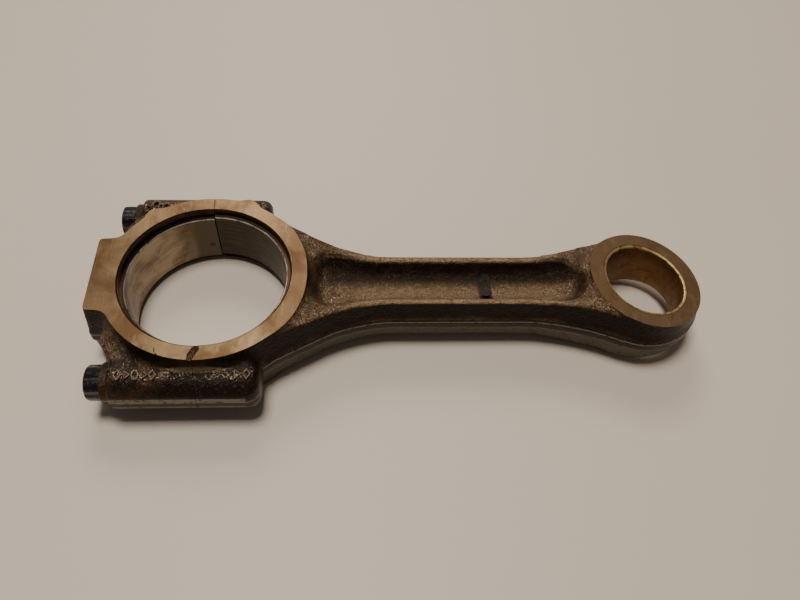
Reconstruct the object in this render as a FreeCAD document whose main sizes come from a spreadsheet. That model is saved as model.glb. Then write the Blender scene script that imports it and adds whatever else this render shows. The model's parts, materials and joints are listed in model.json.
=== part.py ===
import FreeCAD, Part
import math
import os
import Sketcher
from FreeCAD import Vector

# Connecting rod for a small engine, lying flat.
# Origin: big-end bore axis at the middle of the rod's width.
# +X runs along the rod to the small end, +Z runs along both bores.
# The big end is fracture split at x = 0: the cap is on the -X side.

DIMENSIONS = [
    # alias, value in mm (angles in degrees), what it is
    ("centre_distance", 145.0, "big-end axis to small-end axis"),
    ("big_end_width", 25.0, "over the machined side faces"),
    ("forging_draft", 5.0, "draft of the forged side walls, per side"),
    ("housing_diameter", 54.0, "big-end bore in the steel"),
    ("housing_chamfer", 0.4, "break on the edge of the housing bore"),
    ("ring_diameter", 64.2, "big-end side face, outside"),
    ("shell_wall", 1.6, "thickness of a bearing shell"),
    ("shell_width", 19.4, "axial width of a bearing shell"),
    ("shell_chamfer", 0.35, "edge break of a bearing shell"),
    ("bolt_spacing", 64.8, "between the two bolt axes"),
    ("boss_diameter", 15.8, "forged barrel around a bolt"),
    ("boss_flat", 39.6, "mid-plane to the trimmed flat of a barrel"),
    ("boss_rounding", 2.2, "rounding of a barrel's end"),
    ("rod_boss_length", 18.7, "joint face to the blind end of the rod's barrel"),
    ("cap_boss_length", 26.0, "joint face to the shoulder of the cap's barrel"),
    ("seat_length", 28.4, "joint face to the seat under the bolt head"),
    ("seat_diameter", 12.5, "turned pad under the bolt head"),
    ("clearance_hole", 8.5, "bolt hole through the cap"),
    ("tapped_hole", 8.0, "bolt hole in the rod, over the thread"),
    ("tapped_depth", 16.4, "joint face to the bottom of the tapped hole"),
    ("pad_reach", 36.4, "balance pad of the cap, from the bore axis at mid-plane"),
    ("pad_width", 30.4, "balance pad of the cap, across at mid-plane"),
    ("pad_rounding", 1.2, "corners of the balance pad"),
    ("pad_root", 20.0, "where the pad ends inside the ring"),
    ("web_width", 15.0, "thickness of the web between pad and barrels"),
    ("web_pad_reach", 30.0, "web outline beside the pad, from the bore axis"),
    ("web_pad_half", 22.5, "half width there"),
    ("web_rounding", 1.5, "corner of the web beside the pad"),
    ("web_corner_reach", 26.5, "web outline at the cap barrel's end"),
    ("web_corner_half", 27.5, "half width there"),
    ("web_barrel_reach", 20.0, "web outline over the barrel"),
    ("web_barrel_half", 32.0, "half width there"),
    ("web_root", 5.0, "where the web ends inside the barrel"),
    ("web_root_half", 33.0, "half width there"),
    ("lobe_radius", 3.2, "lobes of the side face on the rear side"),
    ("lobe_distance", 30.8, "bore axis to a lobe's centre"),
    ("cap_lobe_angle", 128.0, "direction of the lobe on the cap"),
    ("rod_lobe_angle", 68.5, "direction of the lobe on the rod"),
    ("small_end_diameter", 38.4, "small-end eye, outside at its faces"),
    ("small_end_width", 19.0, "small-end eye, on its axis"),
    ("small_end_taper", 8.8, "slope of each small-end face"),
    ("bush_diameter", 29.5, "bush outside"),
    ("pin_diameter", 27.0, "bush bore for the piston pin"),
    ("bush_chamfer", 0.8, "edge break of the bush bore"),
    ("shank_half_width", 10.45, "mid-plane, along the straight part"),
    ("shank_height", 18.0, "over the flanges, at the middle of the shank"),
    ("flange_start_drop", 0.7, "flanges below the side face where they leave the ring"),
    ("flange_level_start", 55.8, "where the flanges become level"),
    ("flange_level_end", 106.3, "where the flanges start to rise again"),
    ("flange_end_drop", 0.8, "flanges below the side face where they reach the eye"),
    ("profile_margin", 1.0, "how far the flange profile runs past the shank"),
    ("flank_root", 18.0, "where the big-end flank starts, inside the ring"),
    ("flank_root_half", 27.1, "half width there"),
    ("flank_corner", 47.8, "corner of flank and straight, big end"),
    ("flank_radius", 46.7, "hollow of the flank, big end"),
    ("neck_corner", 120.3, "corner of straight and neck, small end"),
    ("neck_radius", 73.2, "hollow of the neck, small end"),
    ("neck_end", 136.3, "where the neck meets the eye"),
    ("neck_end_half", 18.4, "half width there"),
    ("web_half_thickness", 3.5, "middle web of the I-section, half"),
    ("recess_taper", 25.0, "slope of the recess walls"),
    ("recess_rounding", 3.0, "hollow along the recess floor"),
    ("recess_depth", 12.0, "space above the recess floor, past the flanges"),
    ("recess_start_corner", 3.5, "corners of the recess floor, big-end side"),
    ("recess_narrow_radius", 40.0, "bend of the recess floor, big-end side"),
    ("recess_widen_radius", 55.0, "bend of the recess floor, small-end side"),
    ("recess_end_corner", 4.0, "corners of the recess floor, small-end side"),
    ("recess_start", 36.0, "recess floor, big-end side"),
    ("recess_start_half", 8.4, "half width there"),
    ("recess_narrow", 52.0, "where the recess floor becomes straight"),
    ("recess_half", 4.85, "half width of the straight recess floor"),
    ("recess_widen", 108.0, "where the recess floor starts to widen"),
    ("recess_end", 121.5, "recess floor, small-end side"),
    ("recess_end_half", 6.4, "half width there"),
    ("head_diameter", 11.0, "twelve-point bolt head, over its points"),
    ("head_length", 4.9, "bolt head"),
    ("thread_diameter", 7.8, "bolt thread, outside"),
    ("thread_start", 1.0, "joint face to the first thread"),
    ("waist_diameter", 7.0, "reduced shank of the bolt"),
    ("neck_length", 4.0, "full-diameter neck under the bolt head"),
    ("bolt_reach", 14.5, "joint face to the tip of the bolt"),
    ("thread_runout", 1.0, "length of each cone beside the thread and at the tip"),
]
HEAD_POINTS = 12                # points round a bolt head
HEAD_DEPTH_RATIO = 0.93         # radius in the grooves, against the radius at the points
OVERRUN = 5.0                   # how far cutting solids run past what they cut
CLEAR = "100"                   # mm, longer than the big end is wide
TALL = "60"                     # mm, taller than either end
WEDGE_REACH = "30"              # mm, wedge on each side of the small-end axis

doc = FreeCAD.newDocument("connecting_rod")
dims = doc.addObject("Spreadsheet::Sheet", "dims")
for row, (alias, number, meaning) in enumerate(DIMENSIONS, start=1):
    dims.set(f"A{row}", str(number))
    dims.setAlias(f"A{row}", alias)
    dims.set(f"B{row}", meaning)
doc.recompute()
FULL_TURN = 360.0


def size(expression):
    """Current value of an expression on the sheet."""
    value = dims.evalExpression(expression)
    return float(getattr(value, "Value", value))


def plane_of(body, role):
    return next(f for f in body.Origin.OriginFeatures if f.Role == role)


def new_body(name):
    return doc.addObject("PartDesign::Body", name)


def new_sketch(body, name, role):
    sketch = body.newObject("Sketcher::SketchObject", name)
    sketch.AttachmentSupport = [(plane_of(body, role), "")]
    sketch.MapMode = "FlatFace"
    return sketch


def bind(sketch, constraint, expression):
    index = sketch.addConstraint(constraint)
    name = f"size_{index}"
    sketch.renameConstraint(index, name)
    sketch.setExpression(f"Constraints.{name}", expression)


def pin_point(sketch, geometry, end, place):
    """Hold one point of a sketch at a pair of sheet expressions."""
    across, up = place
    bind(sketch, Sketcher.Constraint("DistanceX", -1, 1, geometry, end, size(across)), across)
    bind(sketch, Sketcher.Constraint("DistanceY", -1, 1, geometry, end, size(up)), up)


def outline(sketch, corners):
    """Closed outline of straight lines; a corner is (across, up) or (across, up, radius)."""
    points = [Vector(size(c[0]), size(c[1]), 0) for c in corners]
    radii = [size(c[2]) if len(c) > 2 else 0.0 for c in corners]
    count = len(corners)
    starts, ends, bends = [], [], []
    for i, (corner, radius) in enumerate(zip(points, radii)):
        to_last = (points[i - 1] - corner).normalize()
        to_next = (points[(i + 1) % count] - corner).normalize()
        half = to_last.getAngle(to_next) / 2
        reach = radius / math.tan(half)
        ends.append(corner + to_last * reach)
        starts.append(corner + to_next * reach)
        if radius:
            middle = corner + (to_last + to_next).normalize() * (radius / math.sin(half) - radius)
            bends.append(Part.Arc(ends[i], middle, starts[i]))
        else:
            bends.append(None)
    lines = [sketch.addGeometry(Part.LineSegment(starts[i], ends[(i + 1) % count]))
             for i in range(count)]
    for i, corner in enumerate(corners):
        before, after = lines[i - 1], lines[i]
        if bends[i] is None:
            sketch.addConstraint(Sketcher.Constraint("Coincident", before, 2, after, 1))
            pin_point(sketch, after, 1, corner[:2])
            continue
        arc = sketch.addGeometry(bends[i])
        first = 1 if sketch.getPoint(arc, 1).distanceToPoint(ends[i]) < 1e-6 else 2
        sketch.addConstraint(Sketcher.Constraint("Tangent", before, 2, arc, first))
        sketch.addConstraint(Sketcher.Constraint("Tangent", after, 1, arc, 3 - first))
        bind(sketch, Sketcher.Constraint("Radius", arc, radii[i]), corner[2])
        point = sketch.addGeometry(Part.Point(points[i]), True)
        pin_point(sketch, point, 1, corner[:2])
        for line in (before, after):
            sketch.addConstraint(Sketcher.Constraint("PointOnObject", point, 1, line))


def mirrored(corners):
    """Corners on one side of the X axis, followed by their reflections."""
    other = [(c[0], f"-({c[1]})", *c[2:]) for c in reversed(corners)]
    return list(corners) + other


def circle(sketch, place, radius):
    ring = sketch.addGeometry(Part.Circle(Vector(size(place[0]), size(place[1]), 0),
                                          Vector(0, 0, 1), size(radius)))
    pin_point(sketch, ring, 3, place)
    bind(sketch, Sketcher.Constraint("Radius", ring, size(radius)), radius)


def pad(body, sketch, name, length, taper=None):
    """Pad both ways from the sketch; a taper narrows it away from the sketch."""
    feature = body.newObject("PartDesign::Pad", name)
    feature.Profile = sketch
    feature.SideType = "Symmetric"
    feature.setExpression("Length", length)
    if taper:
        feature.setExpression("TaperAngle", f"-({taper})")
    return feature


def forged_pad(name, draw, length):
    """A drafted block of forging about the mid-plane, from one outline."""
    body = new_body(name)
    sketch = new_sketch(body, f"{name}_outline", "XY_Plane")
    draw(sketch)
    pad(body, sketch, f"{name}_pad", length, "dims.forging_draft")
    return body


def revolved(name, corners, role="XZ_Plane", angle=FULL_TURN, backwards=False):
    """A turned piece about the Z axis, or about X when the sketch lies on it."""
    body = new_body(name)
    sketch = new_sketch(body, f"{name}_profile", role)
    outline(sketch, corners)
    feature = body.newObject("PartDesign::Revolution", f"{name}_turned")
    feature.Profile = sketch
    feature.ReferenceAxis = (sketch, ["V_Axis"])
    feature.Angle = angle
    feature.Reversed = backwards
    return body


def boolean(kind, name, **links):
    feature = doc.addObject(f"Part::{kind}", name)
    for key, value in links.items():
        setattr(feature, key, value)
    return feature


def block(name, lengths, corner):
    """A box from sheet expressions, for cutting."""
    solid = doc.addObject("Part::Box", name)
    for prop, expression in zip(("Length", "Width", "Height"), lengths):
        solid.setExpression(prop, expression)
    for axis, expression in zip("xyz", corner):
        solid.setExpression(f"Placement.Base.{axis}", expression)
    return solid


# ---------------------------------------------------------------- big end

RING_MID = "dims.ring_diameter / 2 + dims.big_end_width / 2 * tan(dims.forging_draft * 1deg)"
SIDES = {"front": "-1", "rear": "1"}


def ring_blank(name):
    return forged_pad(name, lambda s: circle(s, ("0", "0"), RING_MID), "dims.big_end_width")


def face_lobe(piece):
    """A small lobe of the side face on the rear side, where the ring runs into a barrel."""
    radius = "dims.lobe_radius + dims.big_end_width / 2 * tan(dims.forging_draft * 1deg)"
    place = tuple(f"dims.lobe_distance * {turn}(dims.{piece}_lobe_angle * 1deg)"
                  for turn in ("cos", "sin"))
    return forged_pad(f"{piece}_lobe", lambda s: circle(s, place, radius), "dims.big_end_width")


def barrel(name, side, start, end, round_end):
    """The forged barrel round one bolt, with its outer side trimmed flat."""
    body = new_body(name)
    sketch = new_sketch(body, f"{name}_section", "YZ_Plane")
    sign = float(SIDES[side])
    centre_y = sign * size("dims.bolt_spacing / 2")
    radius = size("dims.boss_diameter / 2")
    flat_y = sign * size("dims.boss_flat")
    half = math.sqrt(radius ** 2 - (flat_y - centre_y) ** 2)
    low, high = Vector(flat_y, -half, 0), Vector(flat_y, half, 0)
    far = Vector(centre_y - sign * radius, 0, 0)
    arc = sketch.addGeometry(Part.Arc(low, far, high))
    chord = sketch.addGeometry(Part.LineSegment(low, high))
    low_end = 1 if sketch.getPoint(arc, 1).distanceToPoint(low) < 1e-6 else 2
    sketch.addConstraint(Sketcher.Constraint("Coincident", arc, low_end, chord, 1))
    sketch.addConstraint(Sketcher.Constraint("Coincident", arc, 3 - low_end, chord, 2))
    sketch.addConstraint(Sketcher.Constraint("Vertical", chord))
    pin_point(sketch, arc, 3, (f"{SIDES[side]} * dims.bolt_spacing / 2", "0"))
    bind(sketch, Sketcher.Constraint("Radius", arc, radius), "dims.boss_diameter / 2")
    bind(sketch, Sketcher.Constraint("DistanceX", -1, 1, chord, 1, flat_y),
         f"{SIDES[side]} * dims.boss_flat")
    feature = body.newObject("PartDesign::Pad", f"{name}_pad")
    feature.Profile = sketch
    feature.Type = "Length"
    feature.Reversed = end < start
    feature.setExpression("Length", round_end)
    doc.recompute()
    reach = size(round_end) * (1 if end > start else -1)
    edges = [f"Edge{i}" for i, e in enumerate(feature.Shape.Edges, start=1)
             if all(abs(v.X - reach) < 1e-6 for v in e.Vertexes)]
    soft = body.newObject("PartDesign::Fillet", f"{name}_rounding")
    soft.Base = (feature, edges)
    soft.setExpression("Radius", "dims.boss_rounding")
    return body


def along_x(name, radius, start, end, side):
    """A cylinder along X on one bolt's axis."""
    solid = doc.addObject("Part::Cylinder", name)
    solid.setExpression("Radius", radius)
    solid.setExpression("Height", f"({end}) - ({start})")
    solid.Placement = FreeCAD.Placement(
        Vector(size(start), float(SIDES[side]) * size("dims.bolt_spacing / 2"), 0),
        FreeCAD.Rotation(Vector(0, 1, 0), 90))
    return solid


def housing_cutter():
    """The turned space of the housing bore, with a break at both edges."""
    bore = "dims.housing_diameter / 2"
    face = "dims.big_end_width / 2"
    open_radius = f"{bore} + dims.housing_chamfer + {OVERRUN}"
    return revolved("housing_space", [
        ("0", f"-({face} + {OVERRUN})"),
        (open_radius, f"-({face} + {OVERRUN})"),
        (bore, f"-({face} - dims.housing_chamfer)"),
        (bore, f"{face} - dims.housing_chamfer"),
        (open_radius, f"{face} + {OVERRUN}"),
        ("0", f"{face} + {OVERRUN}"),
    ])


def half_space(name, towards):
    """A box that fills everything on one side of the joint face."""
    corner_x = "0" if towards > 0 else f"-{CLEAR}"
    return block(name, (CLEAR, CLEAR, CLEAR), (corner_x, f"-{CLEAR} / 2", f"-{CLEAR} / 2"))


def bearing_shell(name, towards_rod):
    """Half of a turned bearing lining, on one side of the joint face."""
    outside = "dims.housing_diameter / 2"
    inside = f"{outside} - dims.shell_wall"
    face = "dims.shell_width / 2"
    edge = "dims.shell_chamfer"
    return revolved(name, [
        (f"{inside} + {edge}", f"-({face})"), (outside, f"-({face})"),
        (outside, face), (f"{inside} + {edge}", face),
        (inside, f"{face} - {edge}"), (inside, f"-({face} - {edge})"),
    ], role="YZ_Plane", angle=FULL_TURN / 2, backwards=towards_rod)


# ---------------------------------------------------------------- shank

def shank_blank():
    """The drafted shank, its top and bottom cut to the flange heights."""
    def draw(sketch):
        outline(sketch, mirrored([
            ("dims.flank_root", "dims.flank_root_half"),
            ("dims.flank_corner", "dims.shank_half_width", "dims.flank_radius"),
            ("dims.neck_corner", "dims.shank_half_width", "dims.neck_radius"),
            ("dims.neck_end", "dims.neck_end_half"),
        ]))
    body = forged_pad("shank_blank", draw, "dims.big_end_width")
    sketch = new_sketch(body, "flange_heights", "XZ_Plane")
    middle = "dims.shank_height / 2"
    face = "dims.big_end_width / 2"
    start = "dims.flank_root - dims.profile_margin"
    end = "dims.neck_end + dims.profile_margin"
    profile = [
        (start, f"{face} + dims.profile_margin"),
        (start, f"{face} - dims.flange_start_drop"),
        ("dims.flange_level_start", middle),
        ("dims.flange_level_end", middle),
        ("dims.centre_distance - dims.small_end_diameter / 2", f"{face} - dims.flange_end_drop"),
        (end, "dims.small_end_width / 2 + dims.profile_margin"),
        (end, f"{face} + dims.profile_margin"),
    ]
    outline(sketch, profile)
    outline(sketch, [(x, f"-({z})") for x, z in profile])
    cut = body.newObject("PartDesign::Pocket", "flange_cut")
    cut.Profile = sketch
    cut.SideType = "Symmetric"
    cut.setExpression("Length", CLEAR)
    return body


def recess_core():
    """The space of one recess of the I-section: flat floor, sloping walls."""
    body = new_body("recess_core")
    sketch = new_sketch(body, "recess_floor", "XY_Plane")
    outline(sketch, mirrored([
        ("dims.recess_start", "dims.recess_start_half", "dims.recess_start_corner"),
        ("dims.recess_narrow", "dims.recess_half", "dims.recess_narrow_radius"),
        ("dims.recess_widen", "dims.recess_half", "dims.recess_widen_radius"),
        ("dims.recess_end", "dims.recess_end_half", "dims.recess_end_corner"),
    ]))
    feature = body.newObject("PartDesign::Pad", "recess_space")
    feature.Profile = sketch
    feature.setExpression("Length", "dims.recess_depth")
    feature.setExpression("TaperAngle", "dims.recess_taper")
    doc.recompute()
    floor = [f"Edge{i}" for i, e in enumerate(feature.Shape.Edges, start=1)
             if all(abs(v.Z) < 1e-6 for v in e.Vertexes)]
    soft = body.newObject("PartDesign::Fillet", "recess_hollow")
    soft.Base = (feature, floor)
    soft.setExpression("Radius", "dims.recess_rounding")
    body.setExpression("Placement.Base.z", "dims.web_half_thickness")
    return body


# ---------------------------------------------------------------- small end

def taper_wedge():
    """The space between the two sloping small-end faces, running across Y."""
    body = new_body("taper_wedge")
    sketch = new_sketch(body, "taper_section", "XZ_Plane")
    half = "dims.small_end_width / 2"
    rise = f"{WEDGE_REACH} * tan(dims.small_end_taper * 1deg)"
    inner = f"dims.centre_distance - {WEDGE_REACH}"
    outer = f"dims.centre_distance + {WEDGE_REACH}"
    outline(sketch, [
        (inner, f"-({half} + {rise})"), (outer, f"-({half} - {rise})"),
        (outer, f"{half} - {rise}"), (inner, f"{half} + {rise}"),
    ])
    pad(body, sketch, "taper_pad", CLEAR)
    return body


def upright_cylinder(name, radius, height):
    """A cylinder on the small-end axis, centred on the mid-plane."""
    solid = doc.addObject("Part::Cylinder", name)
    solid.setExpression("Radius", radius)
    solid.setExpression("Height", height)
    solid.setExpression("Placement.Base.x", "dims.centre_distance")
    solid.setExpression("Placement.Base.z", f"-({height}) / 2")
    return solid


def small_end_bush(wedge):
    """The pressed-in bush, its ends cut to the slope of the eye."""
    outer = upright_cylinder("bush_blank", "dims.bush_diameter / 2", TALL)
    inner = upright_cylinder("pin_space", "dims.pin_diameter / 2", CLEAR)
    tube = boolean("Cut", "bush_tube", Base=outer, Tool=inner)
    trimmed = boolean("Common", "bush_trimmed", Base=tube, Tool=wedge)
    doc.recompute()
    bore = size("dims.pin_diameter / 2")
    centre = size("dims.centre_distance")
    edge = size("dims.bush_chamfer")
    edges = []
    for i, e in enumerate(trimmed.Shape.Edges, start=1):
        near = [math.hypot(p.x - centre, p.y) for p in e.discretize(5)]
        if e.Closed and max(near) < bore + 1e-3:
            edges.append((i, edge, edge))
    finished = doc.addObject("Part::Chamfer", "small_end_bush")
    finished.Base = trimmed
    finished.Edges = edges
    return finished


# ---------------------------------------------------------------- bolts

def cap_bolt(side):
    """Cap bolt: twelve-point head, neck, waist and thread along X."""
    name = f"cap_bolt_{side}"
    body = new_body(name)
    stem = new_sketch(body, f"{name}_profile", "XZ_Plane")
    seat = "-dims.seat_length"
    thread, waist = "dims.thread_diameter / 2", "dims.waist_diameter / 2"
    outline(stem, [
        (f"{seat} - dims.head_length / 2", "0"),
        (f"{seat} - dims.head_length / 2", thread),
        (f"{seat} + dims.neck_length", thread),
        (f"{seat} + dims.neck_length + dims.thread_runout", waist),
        ("dims.thread_start - dims.thread_runout", waist),
        ("dims.thread_start", thread),
        ("dims.bolt_reach - dims.thread_runout", thread),
        ("dims.bolt_reach", f"{thread} - dims.thread_runout"),
        ("dims.bolt_reach", "0"),
    ])
    turned = body.newObject("PartDesign::Revolution", f"{name}_stem")
    turned.Profile = stem
    turned.ReferenceAxis = (stem, ["H_Axis"])
    turned.Angle = FULL_TURN
    head = new_sketch(body, f"{name}_points", "YZ_Plane")
    radius = "dims.head_diameter / 2"
    corners = []
    for step in range(2 * HEAD_POINTS):
        angle = FULL_TURN * step / (2 * HEAD_POINTS)
        ratio = 1.0 if step % 2 == 0 else HEAD_DEPTH_RATIO
        corners.append((f"{ratio} * {radius} * cos({angle}deg)",
                        f"{ratio} * {radius} * sin({angle}deg)"))
    outline(head, corners)
    head.AttachmentOffset = FreeCAD.Placement(Vector(0, 0, -size("dims.seat_length")),
                                              FreeCAD.Rotation())
    block_pad = body.newObject("PartDesign::Pad", f"{name}_head")
    block_pad.Profile = head
    block_pad.Type = "Length"
    block_pad.Reversed = True
    block_pad.setExpression("Length", "dims.head_length")
    body.setExpression("Placement.Base.y", f"{SIDES[side]} * dims.bolt_spacing / 2")
    return body


# ---------------------------------------------------------------- assembly

def rod_forging(housing, wedge):
    """Shank, small-end eye and the rod's half of the big end, in one forging."""
    recess = recess_core()
    other = doc.addObject("Part::Mirroring", "recess_core_below")
    other.Source = recess
    other.Normal = Vector(0, 0, 1)
    shank = boolean("Cut", "shank_upper", Base=shank_blank(), Tool=recess)
    shank = boolean("Cut", "shank_i_section", Base=shank, Tool=other)
    flare = "dims.small_end_width / 2 * tan(dims.forging_draft * 1deg)"
    eye_mid = f"dims.small_end_diameter / 2 + {flare}"
    eye = forged_pad("eye_blank", lambda s: circle(s, ("dims.centre_distance", "0"), eye_mid),
                     WEDGE_REACH)
    eye = boolean("Common", "eye_tapered", Base=eye, Tool=wedge)
    barrels = [barrel(f"rod_barrel_{side}", side, 0, 1, "dims.rod_boss_length") for side in SIDES]
    blank = boolean("MultiFuse", "rod_blank",
                    Shapes=[ring_blank("rod_ring"), face_lobe("rod"), shank, eye, *barrels])
    cutters = [housing, half_space("cap_side", -1),
               upright_cylinder("bush_space", "dims.bush_diameter / 2", TALL)]
    cutters += [along_x(f"tapped_{side}", "dims.tapped_hole / 2", "-1", "dims.tapped_depth", side)
                for side in SIDES]
    return boolean("Cut", "rod_forging", Base=blank,
                   Tool=boolean("MultiFuse", "rod_cutters", Shapes=cutters))


def bearing_cap(housing):
    """The cap: its half ring, two barrels, the webs beside them and the balance pad."""
    def draw_pad(sketch):
        outline(sketch, mirrored([
            ("-dims.pad_reach", "dims.pad_width / 2", "dims.pad_rounding"),
            ("-dims.pad_root", "dims.pad_width / 2"),
        ]))

    def draw_web(sketch):
        outline(sketch, mirrored([
            ("-dims.web_pad_reach", "dims.web_pad_half", "dims.web_rounding"),
            ("-dims.web_corner_reach", "dims.web_corner_half"),
            ("-dims.web_barrel_reach", "dims.web_barrel_half"),
            ("-dims.web_root", "dims.web_root_half"),
        ]))
    pieces = [ring_blank("cap_ring"), face_lobe("cap"),
              forged_pad("balance_pad", draw_pad, "dims.big_end_width"),
              forged_pad("cap_web", draw_web, "dims.web_width")]
    pieces += [barrel(f"cap_barrel_{side}", side, 1, 0, "dims.cap_boss_length") for side in SIDES]
    pieces += [along_x(f"bolt_seat_{side}", "dims.seat_diameter / 2", "-dims.seat_length",
                       "-dims.web_barrel_reach", side)
               for side in SIDES]
    blank = boolean("MultiFuse", "cap_blank", Shapes=pieces)
    cutters = [housing, half_space("rod_side", 1)]
    cutters += [along_x(f"clearance_{side}", "dims.clearance_hole / 2", "-dims.seat_length - 2", "1",
                        side) for side in SIDES]
    return boolean("Cut", "bearing_cap", Base=blank,
                   Tool=boolean("MultiFuse", "cap_cutters", Shapes=cutters))


def build():
    housing = housing_cutter()
    wedge = taper_wedge()
    pieces = [rod_forging(housing, wedge), bearing_cap(housing),
              bearing_shell("rod_bearing_shell", True), bearing_shell("cap_bearing_shell", False),
              small_end_bush(wedge), cap_bolt("front"), cap_bolt("rear")]
    doc.recompute()
    return pieces


def check_and_write(pieces):
    """Stop on any failed object; then write each sub-part to its own file."""
    for item in doc.Objects:
        if "Invalid" in item.State or "Error" in item.State:
            raise RuntimeError(f"{item.Label}: {item.State}")
    os.makedirs("parts", exist_ok=True)
    for piece in pieces:
        shape = piece.Shape
        if shape.isNull() or not shape.isValid() or len(shape.Solids) != 1:
            raise RuntimeError(f"{piece.Label}: not one valid solid")
        box = shape.BoundBox
        print(f"{piece.Label}: {shape.Volume / 1000:.2f} cm3, "
              f"x {box.XMin:.1f}..{box.XMax:.1f}, y {box.YMin:.1f}..{box.YMax:.1f}, "
              f"z {box.ZMin:.1f}..{box.ZMax:.1f}")
        shape.exportStep(f"parts/{piece.Label}.step")


check_and_write(build())
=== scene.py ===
import json
import math
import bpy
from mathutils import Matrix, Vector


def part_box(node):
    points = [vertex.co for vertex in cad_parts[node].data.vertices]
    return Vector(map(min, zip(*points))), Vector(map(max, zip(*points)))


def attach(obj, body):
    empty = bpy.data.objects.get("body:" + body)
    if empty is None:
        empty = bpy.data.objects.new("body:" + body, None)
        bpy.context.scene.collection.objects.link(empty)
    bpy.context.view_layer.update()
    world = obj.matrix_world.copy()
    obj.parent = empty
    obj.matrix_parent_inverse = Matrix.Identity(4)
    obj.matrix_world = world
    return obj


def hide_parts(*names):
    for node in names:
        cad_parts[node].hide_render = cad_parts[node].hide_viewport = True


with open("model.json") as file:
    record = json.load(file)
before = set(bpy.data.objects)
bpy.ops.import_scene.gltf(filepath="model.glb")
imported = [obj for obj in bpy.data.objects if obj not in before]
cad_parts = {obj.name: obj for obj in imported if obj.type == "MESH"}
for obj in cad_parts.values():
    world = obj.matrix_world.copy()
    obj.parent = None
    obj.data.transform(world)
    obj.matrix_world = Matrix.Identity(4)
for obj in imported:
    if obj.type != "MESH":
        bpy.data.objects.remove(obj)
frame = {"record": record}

from types import SimpleNamespace

import bmesh
import bpy
import numpy as np
from mathutils import Matrix, Vector

bl_info = {
    "name": "Connecting rod",
    "version": (1, 0, 0),
    "blender": (4, 5, 0),
    "location": "3D View > Sidebar > Connecting rod",
    "description": "Builds a split connecting rod with its cap, bearing shells, bush and cap bolts",
    "category": "Object",
}

MM = 0.001
FULL_TURN = 2 * math.pi
WIDE = 400 * MM  # beyond every piece
HEAD_POINTS, VALLEY = 12, 0.085  # of a bolt head; depth over its radius
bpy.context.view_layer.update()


def mount(name):
    """One mount of the record, by name."""
    return next(m for m in frame["record"]["mounts"] if m["name"] == name)


# -------------------------------- places read from the frame

CAP_LOW, CAP_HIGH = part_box("bearing_cap")
SHELL_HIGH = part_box("rod_bearing_shell")[1]
BUSH_LOW, BUSH_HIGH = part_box("small_end_bush")
BOLT_LOW, BOLT_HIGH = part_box("cap_bolt_rear")
FACE_Z = CAP_HIGH.z  # machined side faces, from the mid-plane
HOUSING_R = SHELL_HIGH.x  # bore that holds the shells
JOURNAL_R = mount("big_end_bore")["dims"]["r_mm"] * MM
PIN_R = mount("small_end_bore")["dims"]["r_mm"] * MM
EYE_X = mount("small_end_bore")["pos_m"][0]
BUSH_R = (BUSH_HIGH.x - BUSH_LOW.x) / 2
BOLT_Y = (BOLT_LOW.y + BOLT_HIGH.y) / 2
HEAD_R = (BOLT_HIGH.y - BOLT_LOW.y) / 2
SHELL_Z = SHELL_HIGH.z
BARREL_FLAT_Y = CAP_HIGH.y  # trimmed flat of the bolt barrels
PAD_X = -CAP_LOW.x  # balance pad of the cap
BOLT_TIP_X = BOLT_HIGH.x
HEAD_END_X = BOLT_LOW.x


# -------------------------------- places chosen

LOBE_ANGLES = (128.0, 68.5)  # degrees from +X, on the rear side
# y and x in mm, along the fracture
CRACK_LINE = [(-60, 0.0), (-40, -0.1), (-36, -0.55), (-32.5, -0.6), (-30, 0.05), (-27, 0.6),
              (-20, 0.0), (20, 0.0), (26.5, 0.25), (29, -0.1), (31.5, -0.2), (36, 0.15), (60, 0.0)]
DIMPLE_X, DIMPLE_Z = -2.6 * MM, -3.5 * MM  # punched mark in the cap's shell
# outlines below are x and y in mm; the lump in the upper recess is given beside LUMP_X
LUMP_X = 91.3 * MM
LUMP = ((-1.4, -4.0), (1.3, -3.6), (1.7, 5.2), (-1.1, 5.6))
LUMP_GROOVE = ((-0.3, -1.5), (0.5, -1.5), (0.7, 2.6), (-0.1, 2.6))
CHIP_X, CHIP_Y = -0.6 * MM, -30 * MM  # middle of the chip beside the joint
CHIP = ((1.2, -27.2), (1.4, -28.6), (0.2, -31.0), (-0.7, -32.8), (-2.0, -32.5),
        (-1.9, -30.2), (-0.9, -28.2), (0.1, -27.2))
NICK = ((-11.9, -27.6), (-11.65, -27.6), (-11.35, -29.2), (-10.5, -30.2), (-9.6, -30.9),
        (-9.7, -31.1), (-10.8, -30.5), (-11.7, -29.3))
# raised marks: sides, x in mm, angle in degrees, size and height of the top in mm
FRONT_MARKS = [(sides, x, 104, size, 8.5) for sides, x, size in (
    (4, -22.3, 3.0), (3, -19.7, 2.7), (6, -17.2, 2.9), (3, -14.7, 2.7), (4, -12.2, 2.8),
    (3, 12.3, 3.0), (4, 15.2, 2.9))]
REAR_MARKS = ((6, -20.8, 94, 3.6, 8.8), (5, -17.2, 86, 3.2, 9.0), (3, -23.2, 82, 3.0, 8.7),
              (7, -20.2, 74, 3.6, 9.1), (4, -13.2, 88, 2.6, 8.7))


# -------------------------------- tints within a finish

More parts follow.
